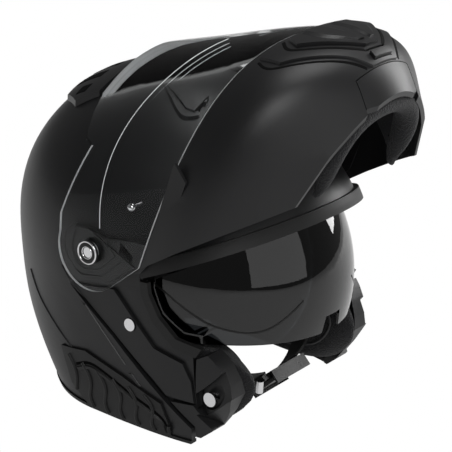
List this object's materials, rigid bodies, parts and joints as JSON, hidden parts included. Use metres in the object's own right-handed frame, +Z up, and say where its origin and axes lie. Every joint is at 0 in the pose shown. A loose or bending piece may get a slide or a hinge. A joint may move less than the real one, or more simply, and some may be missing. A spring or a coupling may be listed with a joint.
{
  "type": "modular motorcycle helmet",
  "caption": "Full-face road helmet with a chin bar and clear visor that swing up, a drop-down sun visor, vents, padded lining and a buckled chin strap.",
  "frame": {"origin": "on the plane that the helmet stands on, straight below the axis on which the chin bar turns, in the middle of the neck opening", "axes": "+Z up, the face looks along -Y, +X towards the wearer's left; the chin bar turns about X"},
  "size_m": [0.2626, 0.3271, 0.3176],
  "materials": {
    "shell_skin": "matt soft-touch lacquer",
    "trim_plastic": "fine moulded grain",
    "foam": "black bead foam",
    "lining": "brushed knit over foam",
    "seal_rubber": "matt",
    "bright_steel": "polished",
    "webbing": "flat woven tape",
    "clear_shield": "clear, gloss",
    "smoked_shield": "smoked, gloss"
  },
  "bodies": {
    "shell": {"ball_stud_left": "bright_steel", "ball_stud_right": "bright_steel", "base_trim": "seal_rubber", "brow_seal": "seal_rubber", "buckle_frame": "bright_steel", "buckle_tongue": "trim_plastic", "cheek_pad_left": "lining", "cheek_pad_right": "lining", "crown_liner": "lining", "crown_vent": "trim_plastic", "end_cap_left": "shell_skin", "end_cap_right": "shell_skin", "eps_liner": "foam", "latch_pin_left": "bright_steel", "latch_pin_right": "bright_steel", "neck_panel_left": "seal_rubber", "neck_panel_right": "seal_rubber", "neck_roll": "lining", "outer_shell": "shell_skin", "pivot_bush_left": "bright_steel", "pivot_bush_right": "bright_steel", "pivot_screw_left": "bright_steel", "pivot_screw_right": "bright_steel", "plate_stud_left": "bright_steel", "plate_stud_right": "bright_steel", "port_seal_left": "seal_rubber", "port_seal_right": "seal_rubber", "rear_vent": "shell_skin", "side_plate_left": "shell_skin", "side_plate_right": "shell_skin", "strap_left": "webbing", "strap_right": "webbing", "strap_rivet_left": "bright_steel", "strap_rivet_right": "bright_steel", "sun_visor_pin_left": "bright_steel", "sun_visor_pin_right": "bright_steel"},
    "chin_bar": {"chin_bar": "shell_skin", "chin_liner": "foam", "chin_pad": "lining", "chin_vent_frame": "trim_plastic", "chin_vent_shield": "shell_skin", "visor_base_left": "trim_plastic", "visor_base_right": "trim_plastic", "lock_ring_left": "trim_plastic", "lock_ring_right": "trim_plastic"},
    "visor": {"clear_visor": "clear_shield"},
    "sun_visor": {"sun_visor": "smoked_shield"},
    "sun_slider": {"sun_visor_slider": "trim_plastic"},
    "crown_slider": {"crown_vent_slider": "trim_plastic"},
    "chin_slider": {"chin_vent_slider": "trim_plastic"},
    "release_lever": {"release_lever": "trim_plastic"},
    "latch_left": {"latch_plate_left": "bright_steel"},
    "latch_right": {"latch_plate_right": "bright_steel"},
    "buckle_lever": {"buckle_lever": "trim_plastic"}
  },
  "joints": [
    {"name": "chin_bar_pivot", "type": "hinge", "parent": "shell", "child": "chin_bar", "pos_m": [0, 0, 0.144], "axis": [1, 0, 0], "range_deg": [0, 74]},
    {"name": "visor_pivot", "type": "hinge", "parent": "chin_bar", "child": "visor", "pos_m": [0, 0, 0.144], "axis": [-1, 0, 0], "range_deg": [0, 20]},
    {"name": "sun_visor_pivot", "type": "hinge", "parent": "shell", "child": "sun_visor", "pos_m": [0, -0.012, 0.101], "axis": [-1, 0, 0], "range_deg": [0, 40]},
    {"name": "sun_slider_slide", "type": "slide", "parent": "shell", "child": "sun_slider", "axis": [0.0599, 0.9982, 0], "range_m": [0, 0.0225]},
    {"name": "crown_vent_slide", "type": "slide", "parent": "shell", "child": "crown_slider", "axis": [0, 1, 0], "range_m": [0, 0.004]},
    {"name": "chin_vent_slide", "type": "slide", "parent": "chin_bar", "child": "chin_slider", "axis": [0, 0.8657, 0.5005], "range_m": [0, 0.003]},
    {"name": "release_slide", "type": "slide", "parent": "chin_bar", "child": "release_lever", "axis": [0, -0.9613, -0.2756], "range_m": [0, 0.004], "stiffness_N_per_m": 300},
    {"name": "latch_left_slide", "type": "slide", "parent": "chin_bar", "child": "latch_left", "axis": [0, -0.4736, -0.8807], "range_m": [0, 0.0031]},
    {"name": "latch_right_slide", "type": "slide", "parent": "chin_bar", "child": "latch_right", "axis": [0, -0.4736, -0.8807], "range_m": [0, 0.0031]},
    {"name": "buckle_lever_hinge", "type": "hinge", "parent": "shell", "child": "buckle_lever", "pos_m": [0.016, -0.09086, 0.02334], "axis": [0, -0.6919, 0.722], "range_deg": [0, 60]}
  ],
  "couplings": [
    {"joint": "sun_slider_slide", "follows": "sun_visor_pivot", "m_per_rad": 0.0316},
    {"joint": "latch_left_slide", "follows": "release_slide", "ratio": 0.75},
    {"joint": "latch_right_slide", "follows": "release_slide", "ratio": 0.75}
  ]
}
